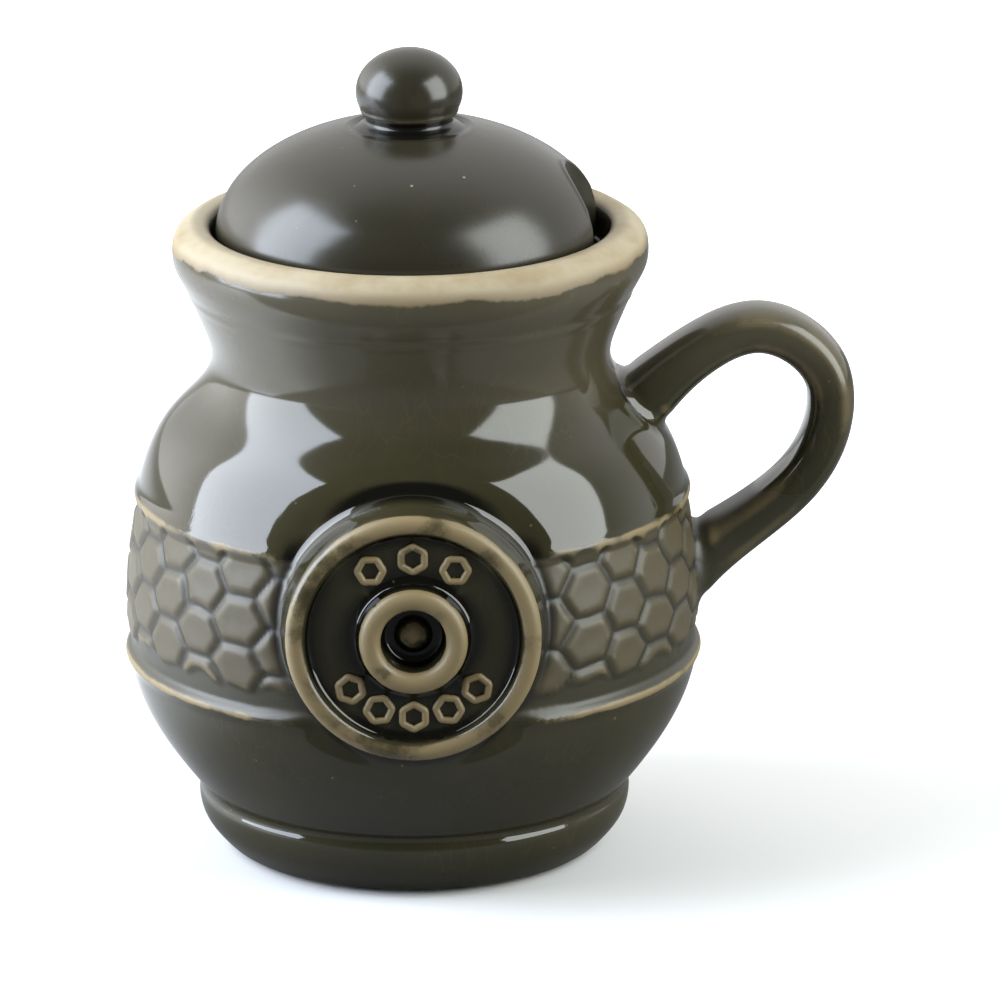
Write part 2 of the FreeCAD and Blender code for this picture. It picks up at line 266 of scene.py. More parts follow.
print("band radius at the side", surface_radius(0.0, 48.0, False).round(2), "plain", radius_at(48.0).round(2))

# %% [markdown]
# ## The medallion's own turned profile
#
# The medallion is a small turned form that faces forward: a boss in a well, a round nozzle, a plain
# field and a round outer bead. It could be a piece of its own that pokes out of the belly, but clay has
# no such joint. So the belly's own grid is bent into circles there, and each bead is modelled by whole
# rings of points, which catches light cleanly.

# %% Medallion profile
def arc_points(centre, radius_x, radius_y, start, end, count):
    """Points on an arc of an ellipse, with the angles in degrees."""
    turn = np.radians(np.linspace(start, end, count))
    return np.column_stack([centre[0] + radius_x * np.cos(turn), centre[1] + radius_y * np.sin(turn)])


crest, field = MEDAL_FACE, MEDAL_FACE - MEDAL_FIELD
nozzle = crest + NOZZLE_OUT
well = nozzle - WELL_DEPTH
boss_top = well + 1.8
medal_line = np.vstack([
    arc_points((0, well - 0.3), 2.9, 2.1, 84, 8, 5),
    [(3.4, well - 0.05), (4.3, well), (5.0, well + 0.35), (5.35, well + 1.5), (5.45, nozzle - 2.6)],
    arc_points((7.2, nozzle - 1.6), 1.8, 1.6, 176, -10, 10),
    [(9.25, field + 0.75), (9.8, field + 0.12), (11.0, field), (12.6, field), (14.2, field), (15.8, field),
     (16.9, field + 0.05), (17.55, field + 0.4)],
    arc_points((19.45, crest - 1.6), 1.72, 1.6, 160, 0, 10),
    [(21.3, crest - 2.6), (21.35, crest - 3.7), (21.45, crest - 4.9), (21.7, crest - 5.8)]])
MEDAL_RINGS, BLEND_RINGS = len(medal_line), 11
print("medallion rings", MEDAL_RINGS, "blend rings", BLEND_RINGS)

# %% [markdown]
# ## Bend the grid round the medallion
#
# A grid point's square ring and its place on that square give a circle and an angle, as when a square
# cloth is drawn over a round lid. The circle's size and how far it stands out come from the medallion's
# profile. Over the next few rings the circles blend back into the grid, so the clay is one skin.

# %% Square rings into circles
def square_ring(column, row):
    """The square ring that a grid point is on, and its angle once the square is a circle."""
    ring = np.maximum(np.abs(column), abs(row))
    safe = np.maximum(ring, 1)
    up, over = row / safe, column / safe
    on_sides = np.where(over > 0, 0, np.pi) + np.pi / 4 * up * np.sign(over)
    on_ends = np.where(up > 0, np.pi / 2, -np.pi / 2) - np.pi / 4 * over * np.sign(up)
    return ring, np.where(np.abs(up) <= np.abs(over), on_sides, on_ends)


SKIRT_FROM, SKIRT_STEP = 36, 0.55
ring_numbers = np.arange(MEDAL_RINGS + 1)
ring_reach = np.r_[0, medal_line[:, 0]]
ring_out = np.r_[boss_top, medal_line[:, 1]]
middle_row = dense_from + int(np.argmin(np.abs(profile[dense_from:dense_from + DENSE_ROWS, 1] - MEDAL_H)))


def dense_ring(r, h, x, y, row):
    """One ring of the belly, with its band, ridges and share of the medallion."""
    column, front = np.arange(COLUMNS) - COLUMNS // 2, y < 0
    ring, angle = square_ring(column, row)
    reach = np.interp(ring, ring_numbers, ring_reach) + SKIRT_STEP * np.maximum(ring - MEDAL_RINGS, 0)
    blend = np.where(np.abs(column) < COLUMNS // 4, step(0, BLEND_RINGS, ring - MEDAL_RINGS), 1.0)
    near = blend < 1
    grid_x = r * np.sin(2 * np.pi * column / COLUMNS)
    sunk_share = surface_radius(-grid_x, np.full(COLUMNS, h), front) / r
    across = np.where(near, -reach * np.cos(angle) * (1 - blend) - grid_x * sunk_share * blend, x)
    height = np.where(near, (MEDAL_H + reach * np.sin(angle)) * (1 - blend) + h * blend, h)
    shaped = surface_radius(across, height, front)
    on_skin = np.sqrt(np.maximum(shaped ** 2 - across ** 2, 0))
    medal = np.maximum(np.interp(ring, ring_numbers, ring_out), on_skin * (ring > SKIRT_FROM))
    grow = np.minimum(shaped / r, 2)
    new_y = np.where(near, -np.where(ring <= MEDAL_RINGS, medal, on_skin), y * grow)
    return np.column_stack([np.where(near, across, x * grow), new_y, height])


# %% [markdown]
# Ring by ring the profile is turned into points. A dense ring goes through the bend above, and any
# other ring is a plain circle.

# %% Place every point of the body
body_rings = []
for k, (r, h) in enumerate(profile):
    turn = 2 * np.pi * np.arange(COLUMNS // strides[k]) / (COLUMNS // strides[k])
    x, y = r * np.sin(turn), r * np.cos(turn)
    if strides[k] == 1:
        body_rings.append(dense_ring(r, h, x, y, k - middle_row))
    else:
        body_rings.append(np.column_stack([x, y, np.full(len(turn), h)]))
points = np.vstack(body_rings)
print("body points", len(points))

# %% [markdown]
# ## Short calls for node trees
#
# Geometry and materials are both wired from nodes. These helpers keep the wiring readable: an input
# takes a plain value or another node's output, and the sums that come up again and again get a name.
# A group is a tree of its own with named inputs, so one recipe can be used with different values.

# %% Helper for node trees
class Nodes:
    """Adds nodes to a tree."""

    def __init__(self, tree):
        self.tree = tree

    def put(self, socket, value):
        if isinstance(value, bpy.types.NodeSocket):
            self.tree.links.new(value, socket)
        elif value is not None:
            socket.default_value = value

    def node(self, kind, settings=None, *values, **inputs):
        """A new node. Values fill its inputs in order, and inputs by name, with _ for a space."""
        made = self.tree.nodes.new(kind)
        for key, value in (settings or {}).items():
            setattr(made, key, value)
        for socket, value in zip(made.inputs, values):
            self.put(socket, value)
        for key, value in inputs.items():
            self.put(made.inputs[key.replace("_", " ")], value)
        return made

    def math(self, operation, *values):
        return self.node("ShaderNodeMath", {"operation": operation}, *values).outputs[0]

    def plus(self, one, two):
        return self.math("ADD", one, two)

    def minus(self, one, two):
        return self.math("SUBTRACT", one, two)

    def times(self, one, *others):
        for other in others:
            one = self.math("MULTIPLY", one, other)
        return one

    def vector(self, operation, *values, out=0):
        return self.node("ShaderNodeVectorMath", {"operation": operation}, *values).outputs[out]

    def split(self, vector):
        return self.node("ShaderNodeSeparateXYZ", None, vector).outputs

    def join(self, *values):
        return self.node("ShaderNodeCombineXYZ", None, *values).outputs[0]

    def smooth(self, *values):
        """An S curve from a value, its low and high end, and the results there (0 and 1 if left out)."""
        return self.node("ShaderNodeMapRange", {"interpolation_type": "SMOOTHSTEP"}, *values).outputs[0]

    def noise(self, at, scale, detail, roughness=0.5, out=0):
        made = self.node("ShaderNodeTexNoise", Vector=at, Scale=scale, Detail=detail, Roughness=roughness)
        return made.outputs[out]

    def mix(self, share, one, two):
        """A colour between two others."""
        made = self.node("ShaderNodeMix", {"data_type": "RGBA"}, share)
        self.put(made.inputs[6], one)
        self.put(made.inputs[7], two)
        return made.outputs[2]

    def on_object(self):
        """Object coordinates, so that a pattern stays on its piece."""
        return self.node("ShaderNodeTexCoord").outputs["Object"]

    def store(self, geometry, name, value):
        return self.node("GeometryNodeStoreNamedAttribute", {"data_type": "FLOAT", "domain": "POINT"},
                         Geometry=geometry, Name=name, Value=value).outputs[0]

    def stored(self, name):
        return self.node("GeometryNodeInputNamedAttribute", {"data_type": "FLOAT"}, Name=name).outputs[0]


class Group(Nodes):
    """A tree with named inputs and outputs: given holds the inputs, and give() fills the outputs."""

    def __init__(self, name, kind, inputs, outputs):
        super().__init__(bpy.data.node_groups.new(name, kind))
        for title, socket, value in inputs:
            made = self.tree.interface.new_socket(title, in_out="INPUT", socket_type="NodeSocket" + socket)
            if value is not None:
                made.default_value = value
        for title, socket in outputs:
            self.tree.interface.new_socket(title, in_out="OUTPUT", socket_type="NodeSocket" + socket)
        self.given = self.node("NodeGroupInput").outputs
        self.end = self.node("NodeGroupOutput")

    def give(self, *values):
        for socket, value in zip(self.end.inputs, values):
            self.put(socket, value)
        print(self.tree.name, "has", len(self.tree.nodes), "nodes")


# %% [markdown]
# A modifier is only a recipe until it is evaluated. The pot should end as plain meshes, so each
# result is kept as a mesh at once and the modifier goes.

# %% Helpers that make a modifier's result a plain mesh
def applied(piece, modifier):
    """Keeps the piece's mesh as the modifier leaves it, and removes the modifier."""
    mesh = bpy.data.meshes.new_from_object(piece.evaluated_get(bpy.context.evaluated_depsgraph_get()))
    piece.modifiers.remove(modifier)
    old, piece.data = piece.data, mesh
    bpy.data.meshes.remove(old)
    mesh.name = piece.name
    mesh.shade_smooth()


def grown(piece, group, **inputs):
    """Runs the piece through Geometry Nodes. Inputs are set by identifier before it is evaluated."""
    modifier = piece.modifiers.new("grow", "NODES")
    modifier.node_group = group.tree
    for item in group.tree.interface.items_tree:
        if item.in_out == "INPUT" and item.name in inputs:
            modifier[item.identifier] = inputs[item.name]
    applied(piece, modifier)


# %% [markdown]
# ## The honeycomb, grown by Geometry Nodes
#
# On the real pot the band's cells are carved into the mould by hand: rounded hexagons in staggered
# columns, no two quite alike. Geometry Nodes can lay that pattern round the belly: a staggered grid of
# points is jittered and triangulated, and its dual mesh has a cell round every point. A bump could fake
# the cells, but it would leave the pot's outline straight. A seed keeps the jitter the same on every run.

# %% Tree: honeycomb cells
CELL_ROWS = 6
comb = Group("honeycomb band", "GeometryNodeTree",
             [("Geometry", "Geometry", None), ("Columns", "Int", 34), ("Pitch", "Float", 0.0083),
              ("Radius", "Float", 0.0485), ("Groove", "Float", 0.0012), ("Height", "Float", 0.00066),
              ("Jitter", "Float", 0.0012), ("Middle", "Float", 0.05465), ("Seed", "Int", 7)],
             [("Geometry", "Geometry")])
g = comb.given
column_width = comb.math("DIVIDE", comb.times(g["Radius"], 2 * math.pi), g["Columns"])
lattice = comb.node("GeometryNodeMeshGrid", Size_X=comb.times(column_width, comb.plus(g["Columns"], 2)),
                    Size_Y=comb.times(g["Pitch"], CELL_ROWS), Vertices_X=comb.plus(g["Columns"], 3),
                    Vertices_Y=CELL_ROWS + 1).outputs[0]
place = comb.node("GeometryNodeInputPosition").outputs[0]
here = comb.split(place)
column_number = comb.math("ROUND", comb.math("DIVIDE", here[0], column_width))
odd = comb.math("ABSOLUTE", comb.math("MODULO", column_number, 2))
stagger = comb.join(0.0, comb.times(odd, g["Pitch"], 0.5))
shifted = comb.node("GeometryNodeSetPosition", Geometry=lattice, Offset=stagger).outputs[0]
webbed = comb.node("GeometryNodeTriangulate", Mesh=shifted).outputs[0]
shake = comb.node("FunctionNodeRandomValue", {"data_type": "FLOAT_VECTOR"}, Min=(-1, -0.9, 0),
                  Max=(1, 0.9, 0), Seed=g["Seed"]).outputs[0]
jittered = comb.node("GeometryNodeSetPosition", Geometry=webbed,
                     Offset=comb.vector("MULTIPLY", shake, g["Jitter"])).outputs[0]
walls = comb.node("GeometryNodeDualMesh", Mesh=jittered).outputs[0]
print("honeycomb lattice of", CELL_ROWS + 1, "rows ready")

# %% [markdown]
# Now every point of the body is unrolled onto that flat pattern and looks up how far it is from the
# nearest cell wall. Far enough from a wall it rises into a pad, which is dished a little in its middle.
# How much of it is pad and how much is groove stays on the point for the glaze to read.

# %% Tree: pads between the walls
WOBBLE, DISH = 0.0012, 0.16
round_turn = comb.math("ARCTAN2", comb.times(here[1], -1.0), comb.times(here[0], -1.0))
wobbled = comb.times(comb.minus(comb.noise(place, 180.0, 1.0), 0.5), WOBBLE)
unrolled = comb.join(comb.plus(comb.times(round_turn, g["Radius"]), wobbled),
                     comb.plus(comb.minus(here[2], g["Middle"]), wobbled))
away = comb.node("GeometryNodeProximity", {"target_element": "EDGES"}, walls,
                 Source_Position=unrolled).outputs["Distance"]
half = comb.times(g["Groove"], 0.5)
pad = comb.smooth(away, comb.times(half, -0.3), comb.times(half, 2.4))
dish = comb.smooth(away, comb.times(half, 2.2), comb.times(g["Pitch"], 0.5), 0.0, DISH)
mask = comb.stored("cells")
rise = comb.times(mask, comb.times(comb.minus(pad, dish), g["Height"]))
lift = comb.node("ShaderNodeVectorMath", {"operation": "SCALE"},
                 comb.node("GeometryNodeInputNormal").outputs[0], Scale=rise).outputs[0]
risen = comb.node("GeometryNodeSetPosition", Geometry=g["Geometry"], Offset=lift).outputs[0]
groove = comb.times(mask, comb.smooth(away, half, comb.times(half, 0.1)))
comb.give(comb.store(comb.store(risen, "groove", groove), "pad", comb.times(mask, pad)))

# %% [markdown]
# Cells are wanted only inside the band: above a plain channel with an uneven lower edge, below the
# upper ridge, and clear of the medallion. That is a plain mask on the body's points.

# %% Body mesh and its cells
x, y, z = points.T
round_body = np.arctan2(x, -y)
uneven = 0.7 * np.sin(17 * round_body) + 0.4 * np.sin(41 * round_body + 1.0)
cells = step(CELLS_LOW - 1.0, CELLS_LOW + 0.6, z + uneven) * (1 - step(BAND_TOP - 0.4, BAND_TOP + 0.6, z))
cells *= np.where(y < 0, step(MEDAL_R + 0.9, MEDAL_R + 2.6, np.hypot(x, z - MEDAL_H)), 1.0)
cells *= np.hypot(x, y) > BELLY_R - 8
body = new_piece("pot_body", points, skin(strides, COLUMNS), cells=cells)
print("body", face_outward(body), "cm3")
grown(body, comb, Seed=11)

# %% [markdown]
# ## The strap handle
#
# A potter pulls a strap, bends it and lutes both ends to the wall, where it flares. It is swept here:
# a rounded section is set square on a middle line and grows towards both roots. A curve with a bevel
# would do as well, but here the section, a square with very round corners, is free to change.

# %% Handle
HANDLE_THICK, HANDLE_WIDTH, ROOT_FLARE = 8.0, 12.0, 1.6
HANDLE_RINGS, HANDLE_SIDES, SQUARE = 120, 40, 0.7
bend_out = (pot_high[0] - 0.5 * HANDLE_THICK - 0.05, 89.6)
lower_end = (BELLY_R - WALL - 0.6, 45.5)
shares = ((0.212, 0.925), (0.55, 1.0), (0.835, 0.93), (0.975, 0.815), (1.0, 0.70), (0.965, 0.58),
          (0.84, 0.43), (0.546, 0.258), (0.176, 0.09))
stations = [(NECK_R + 1.8, 74.0), *(between(lower_end, bend_out, *share) for share in shares), lower_end]
middle = spline(stations, HANDLE_RINGS)
along = np.gradient(middle, axis=0)
along /= np.linalg.norm(along, axis=1)[:, None]
out = np.column_stack([-along[:, 1], along[:, 0]])
flare = 1 + (ROOT_FLARE - 1) * np.abs(np.linspace(-1, 1, HANDLE_RINGS)) ** 5
turn = 2 * np.pi * np.arange(HANDLE_SIDES) / HANDLE_SIDES
thick, wide = (np.sign(wave) * np.abs(wave) ** SQUARE for wave in (np.cos(turn), np.sin(turn)))
handle_points = []
for at, sideways, grow in zip(middle, out, flare):
    a, b = 0.5 * HANDLE_THICK * grow * thick, 0.5 * HANDLE_WIDTH * grow * wide
    handle_points.append(np.column_stack([at[0] + sideways[0] * a, b, at[1] + sideways[1] * a]))
handle = new_piece("pot_handle", np.vstack(handle_points), skin([1] * HANDLE_RINGS, HANDLE_SIDES))
print("handle", face_outward(handle), "cm3")

# %% [markdown]
# ## One fired piece
#
# The handle and the body are one piece of clay, so a Boolean joins them, and the seam is then relaxed
# into the soft fillet that slip and glaze leave there. The seam's points are those that neither mesh
# had before.

# %% Union
def places(mesh):
    """The place of every point, rounded so that it can be looked up."""
    return [tuple(np.round(v.co, 7)) for v in mesh.vertices]


before = {*places(body.data), *places(handle.data)}
union = body.modifiers.new("join", "BOOLEAN")
union.operation, union.solver, union.object = "UNION", "EXACT", handle
applied(body, union)
bpy.data.objects.remove(handle)
seam = np.array([v.co[:] for v, at in zip(body.data.vertices, places(body.data)) if at not in before])
print("joined", len(body.data.vertices), "points, of which on the seam", len(seam))

# %% [markdown]
# A Bevel modifier needs clean edges along the seam, which a Boolean doesn't leave. Drawing the points
# near the seam towards their neighbours, less and less with distance, gives a soft fillet instead.

# %% Fillet
def coordinates(mesh):
    """The mesh's points as an array, in metres."""
    co = np.zeros(len(mesh.vertices) * 3)
    mesh.vertices.foreach_get("co", co)
    return co.reshape(-1, 3)


def edge_ends(mesh):
    """The numbers of the two points of every edge."""
    ends = np.zeros(len(mesh.edges) * 2, int)
    mesh.edges.foreach_get("vertices", ends)
    return ends.reshape(-1, 2).T


def relax_near(piece, seam, reach, rounds, pull=0.6):
    """Laplacian smoothing that fades out with distance from the seam's points, in metres."""
    mesh = piece.data
    co, (a, b) = coordinates(mesh), edge_ends(mesh)
    gap = np.concatenate([np.min(np.linalg.norm(chunk[:, None] - seam[None], axis=2), axis=1)
                          for chunk in np.array_split(co, len(co) // 2000)])
    weight = (1 - step(0.15 * reach, reach, gap))[:, None]
    count = np.maximum(np.bincount(np.r_[a, b], minlength=len(co)), 1)[:, None]
    for _ in range(rounds):
        around = np.column_stack([np.bincount(np.r_[a, b], np.r_[co[b, i], co[a, i]], len(co))
                                  for i in range(3)])
        co += weight * pull * (around / count - co)
    mesh.vertices.foreach_set("co", co.ravel())
    mesh.update()
    return int((weight > 0.01).sum())


print("relaxed", relax_near(body, seam, 0.0035, 30), "points round the seam")

# %% [markdown]
# ## Generic marks on the medallion's field
#
# The field carries two arcs of small raised hexagon outlines, like cells of a comb: three above the
# nozzle and five below. One tree makes such an arc: a hexagon with rounded corners is drawn as a
# curve, gets a round section, and is set on an arc of points, each turned to face the centre.

# %% Tree: arc of hexagon rings
arcs = Group("arc of hexagon rings", "GeometryNodeTree",
             [("Geometry", "Geometry", None), ("Circle", "Float", 0.0136), ("Size", "Float", 0.0022),
              ("Stroke", "Float", 0.0006), ("First", "Float", 0.0), ("Step", "Float", 0.4),
              ("Count", "Int", 3), ("Face", "Float", 0.0489), ("Centre", "Float", 0.0506),
              ("Material", "Material", None)],
             [("Geometry", "Geometry")])
g = arcs.given
hexagon = arcs.node("GeometryNodeMeshCircle", Vertices=6, Radius=g["Size"]).outputs[0]
drawn = arcs.node("GeometryNodeMeshToCurve", Mesh=hexagon).outputs[0]
rounded = arcs.node("GeometryNodeFilletCurve", {"mode": "POLY"}, Curve=drawn, Count=4,
                    Radius=arcs.times(g["Size"], 0.28)).outputs[0]
section = arcs.node("GeometryNodeCurvePrimitiveCircle", Resolution=10, Radius=g["Stroke"]).outputs[0]
ring_mesh = arcs.node("GeometryNodeCurveToMesh", Curve=rounded, Profile_Curve=section).outputs[0]
spots = arcs.node("GeometryNodeMeshLine", Count=g["Count"]).outputs[0]
angle = arcs.plus(g["First"], arcs.times(arcs.node("GeometryNodeInputIndex").outputs[0], g["Step"]))
spot = arcs.join(arcs.times(g["Circle"], arcs.math("COSINE", angle)), arcs.times(g["Face"], -1.0),
                 arcs.plus(g["Centre"], arcs.times(g["Circle"], arcs.math("SINE", angle))))
placed = arcs.node("GeometryNodeSetPosition", Geometry=spots, Position=spot).outputs[0]
facing = arcs.join(math.pi / 2, arcs.times(angle, -1.0), 0.0)
set_out = arcs.node("GeometryNodeInstanceOnPoints", Points=placed, Instance=ring_mesh,
                    Rotation=facing).outputs[0]
real = arcs.node("GeometryNodeRealizeInstances", Geometry=set_out).outputs[0]
arcs.give(arcs.node("GeometryNodeSetMaterial", Geometry=real, Material=g["Material"]).outputs[0])

# %% [markdown]
# ## The lid
#
# The lid is turned too, apart from the bite in its edge for the dipper. A Boolean could cut the bite, but
# it would leave a sharp edge that glaze never has. So the skin is one grid again: rings run from the
# knob's top down over the dome, and the outer rings bend from circles to the lid's own outline, bite and
# all. Then the skin rolls over the lip, goes down the edge, in along the flat ring it rests on, and over
# the hollow underside.

# %% Sizes of the lid
LID_R = -lid_low[0]
LID_EDGE_H, LID_TOP, LID_WALL, LID_ROLL = 107.0, 126.0, 4.6, 1.1
KNOB_R, KNOB_HALF_H, DOME_FROM = 9.0, 7.3, 11.2
KNOB_H = lid_high[2] - KNOB_HALF_H
NOTCH_R, NOTCH_REACH, NOTCH_SIDE = 11.5, 26.0, -1.5
LID_COLUMNS = 400


def dome_height(r, edge=LID_R, rise=LID_TOP - LID_EDGE_H):
    """Height of the dome over a radius, as a quarter of an ellipse."""
    return LID_EDGE_H + rise * np.sqrt(np.maximum(1 - (np.asarray(r) / edge) ** 2, 0))


print("lid radius", round(LID_R, 1), "mm, knob's middle at", round(KNOB_H, 1), "mm")

# %% [markdown]
# Seen from above, the lid is a circle with a round bite out of its right edge. The line is run round
# once, its two sharp corners are blurred as a sponge would round them, and it is cut into columns.

# %% The lid's outline with its bite
CORNER_BLUR, BLUR_REACH = 14.0, 60
fine = np.radians(np.arange(0, 360, 0.1))
circle = LID_R * np.column_stack([np.cos(fine), np.sin(fine)])
bite = np.array([NOTCH_REACH + NOTCH_R, NOTCH_SIDE])
kept_arc = circle[np.hypot(*(circle - bite).T) > NOTCH_R]
start, stop = (math.atan2(*(end - bite)[::-1]) % (2 * math.pi) for end in (kept_arc[-1], kept_arc[0]))
swing = np.linspace(start, stop, 300)
bite_line = bite + NOTCH_R * np.column_stack([np.cos(swing), np.sin(swing)])
plan = evenly(np.vstack([kept_arc, bite_line[1:]]), 4001)[:-1]
kernel = np.exp(-0.5 * (np.arange(-BLUR_REACH, BLUR_REACH + 1) / CORNER_BLUR) ** 2)
kernel /= kernel.sum()
wrapped = np.vstack([plan[-BLUR_REACH:], plan, plan[:BLUR_REACH]])
plan = np.column_stack([np.convolve(column, kernel, "valid") for column in wrapped.T])
edge_line = evenly(np.vstack([plan, plan[:1]]), LID_COLUMNS + 1)[:-1]
ahead = np.roll(edge_line, -1, 0) - np.roll(edge_line, 1, 0)
outward = np.column_stack([ahead[:, 1], -ahead[:, 0]]) / np.linalg.norm(ahead, axis=1)[:, None]
edge_r = np.hypot(*edge_line.T)
in_bite = step(0.15, 1.2, LID_R - edge_r)
print("lid outline", len(edge_line), "columns, innermost", round(edge_r.min(), 1))

# %% [markdown]
# The knob is a ball, a little flatter than round, on a short stem that flares into the dome. Below it
# each ring is a mix of a circle and the outline, and the mix moves outward ring by ring.

# %% Knob and dome
lid_rings = []


def lay(flat, heights):
    """Adds one ring to the lid's skin."""
    lid_rings.append(np.column_stack([flat, np.broadcast_to(heights, len(flat))]))


knob_turn = np.radians(np.linspace(5, 114, 22))
ball = [(KNOB_R * math.sin(a), KNOB_H + KNOB_HALF_H * math.cos(a)) for a in knob_turn]
stem = [(8.3, 1.9), (8.0, 1.3), (7.4, 0.7), (7.25, 0.2), (7.6, -0.3), (8.4, -0.65), (9.0, -1.0), (9.6, -1.25)]
knob_line = spline(ball, 30).tolist() + spline([(r, LID_TOP + h) for r, h in stem], 12).tolist()
knob_line += [(10.3, dome_height(10.3) + 0.12), (DOME_FROM, dome_height(DOME_FROM))]
first = math.atan2(edge_line[0, 1], edge_line[0, 0])
inner_turn = first + 2 * np.pi * np.arange(LID_COLUMNS) / LID_COLUMNS
unit_circle = np.column_stack([np.cos(inner_turn), np.sin(inner_turn)])
for r, h in knob_line:
    lay(r * unit_circle, h)
rolled_from = edge_line - LID_ROLL * outward
for s in np.linspace(0, 1, 30)[1:]:
    flat = DOME_FROM * unit_circle * (1 - s) + rolled_from * s
    lay(flat, dome_height(np.hypot(*flat.T)))
print("rings down to the lip", len(lid_rings))

# %% [markdown]
# The lip rolls over in a quarter circle. The edge then drops to the ledge, except in the bite, where
# the wall ends at the hollow. The underside is a smaller dome inside the first.

# %% Lip, edge and underside
top_h = dome_height(np.hypot(*rolled_from.T))
side_h = LID_EDGE_H * (1 - in_bite) + (top_h - LID_ROLL) * in_bite
for a in np.radians(np.linspace(0, 90, 9))[1:]:
    flat = edge_line - LID_ROLL * (1 - math.sin(a)) * outward
    turned_h = dome_height(np.minimum(np.hypot(*flat.T), LID_R))
    rolled_h = side_h + (top_h - side_h) * math.cos(a)
    lay(flat, turned_h * (1 - in_bite) + rolled_h * in_bite)
under_rise, inner_r = LID_TOP - LID_EDGE_H - LID_WALL, LID_R - LID_WALL
open_below = step(0, 1.6, inner_r + 0.6 - edge_r)
low_h = LEDGE_H * (1 - open_below) + dome_height(edge_r, inner_r, under_rise) * open_below
low_h = np.maximum(low_h, LEDGE_H)
for s in (0.25, 0.5, 0.75):
    lay(edge_line, side_h + (low_h + 0.9 - side_h) * s)
for inset, above in ((0.0, 0.9), (0.25, 0.3), (0.9, 0.0)):
    lay(edge_line - outward * inset, low_h + above)
under_r = np.minimum(inner_r, np.hypot(*(edge_line - outward * 1.2).T))
under_line = edge_line / edge_r[:, None] * under_r[:, None]
hollow_h = np.maximum(low_h, LID_EDGE_H)
lay(under_line, low_h)
lay(under_line, hollow_h)
for s in np.linspace(0, 1, 11)[1:-1]:
    flat = under_line * (1 - s)
    here_h = dome_height(np.hypot(*flat.T), inner_r, under_rise)
    lay(flat, np.maximum(here_h, hollow_h * (1 - s) + here_h * s))
lid = new_piece("lid_dome", np.vstack(lid_rings), skin([1] * len(lid_rings), LID_COLUMNS))
print("lid", face_outward(lid), "cm3")

# %% [markdown]
# ## Where the glaze runs thin
#
# Molten glaze creeps off raised edges and gathers in hollows. A point's height over the average of its
# neighbours says which it is: positive on an edge, negative in a hollow. Geometry Nodes blur the
# positions over the mesh and keep that height, at a fine and a broad scale, for the glaze to read.
# The points' own spacing comes in too, since the same edge looks lower where points lie closer.

# %% Tree: run of the glaze
run = Group("run of the glaze", "GeometryNodeTree",
            [("Geometry", "Geometry", None), ("Fine", "Int", 6), ("Broad", "Int", 40), ("Gain", "Float", 1.0),
             ("Material", "Material", None)], [("Geometry", "Geometry")])
g = run.given
place = run.node("GeometryNodeInputPosition").outputs[0]
normal = run.node("GeometryNodeInputNormal").outputs[0]
spacing = run.stored("spacing")
evener = run.math("DIVIDE", g["Gain"], run.times(spacing, spacing))


def blurred(value, kind, rounds):
    """The value averaged with its neighbours' again and again."""
    blur = run.node("GeometryNodeBlurAttribute", {"data_type": kind}, Iterations=rounds)
    run.put(next(s for s in blur.inputs if s.name == "Value" and s.enabled), value)
    return next(s for s in blur.outputs if s.enabled)


kept = g["Geometry"]
for title, rounds, after in (("edge", g["Fine"], 1), ("pool", g["Broad"], 4)):
    above = run.vector("SUBTRACT", place, blurred(place, "FLOAT_VECTOR", rounds))
    height = run.times(run.vector("DOT_PRODUCT", above, normal, out=1), 1000.0, evener)
    kept = run.store(kept, title, blurred(height, "FLOAT", after))
real = run.node("GeometryNodeRealizeInstances", Geometry=kept).outputs[0]
run.give(run.node("GeometryNodeSetMaterial", Geometry=real, Material=g["Material"]).outputs[0])

# %% [markdown]
# ## Colours of the glaze
#
# The glaze is one recipe: nearly black where it is thick, dark olive on plain walls, and tan where it is
# so thin that the clay shows through. Colours are noted as a painter would mix them for the screen
# and turned into the linear values that shaders use.

# %% Colours
def screen(red, green, blue):
    """Linear colour from screen values of 0 to 255."""
    return tuple((v / 255 / 12.92 if v <= 10 else ((v / 255 + 0.055) / 1.055) ** 2.4)
                 for v in (red, green, blue)) + (1.0,)


POOLED, OLIVE, THIN = screen(14, 13, 8), screen(50, 47, 31), screen(136, 119, 84)
# The pale grey for the neck is a painted sheen, not a colour of the glaze.
LID_OLIVE, NECK_SHEEN_GREY = screen(44, 41, 30), screen(150, 140, 120)
CLAY, CLAY_WARM, CLAY_STAIN = screen(178, 165, 138), screen(150, 132, 98), screen(112, 94, 64)
GLAZE_IOR = 1.58
print("olive", [round(v, 3) for v in OLIVE[:3]])

# %% [markdown]
# ## Shader group: a glaze that breaks
#
# Both materials use this effect, so it is a group. It takes what is stored on the points, the two
# heights and the pads and grooves of the honeycomb, and gives the colour and how thin the glaze is.
# A mottle of two noises keeps the olive from being flat.

# %% Group: breaking glaze
glaze = Group("breaking glaze", "ShaderNodeTree",
              [("Olive", "Color", OLIVE), ("Thin", "Color", THIN), ("Pooled", "Color", POOLED),
               ("Edge From", "Float", 0.055), ("Edge Full", "Float", 0.15), ("Pool From", "Float", 0.16),
               ("Pool Full", "Float", 0.62), ("Mottle", "Float", 0.25)],
              [("Color", "Color"), ("Thinness", "Float")])
g = glaze.given
edge, pool, pads, grooves = (glaze.node("ShaderNodeAttribute", {"attribute_name": key}).outputs["Fac"]
                             for key in ("edge", "pool", "pad", "groove"))
spot_at = glaze.on_object()
mottle, cloud = glaze.noise(spot_at, 95.0, 5.0, 0.6), glaze.noise(spot_at, 28.0, 2.0)
uneven_edge = glaze.times(edge, glaze.smooth(mottle, 0.3, 0.65, 0.55, 1.25))
on_edge = glaze.smooth(uneven_edge, g["Edge From"], g["Edge Full"])
off_pads = glaze.minus(0.95, glaze.times(pads, 0.5))
thinness = glaze.math("MAXIMUM", glaze.times(on_edge, off_pads), glaze.times(pads, 0.2))
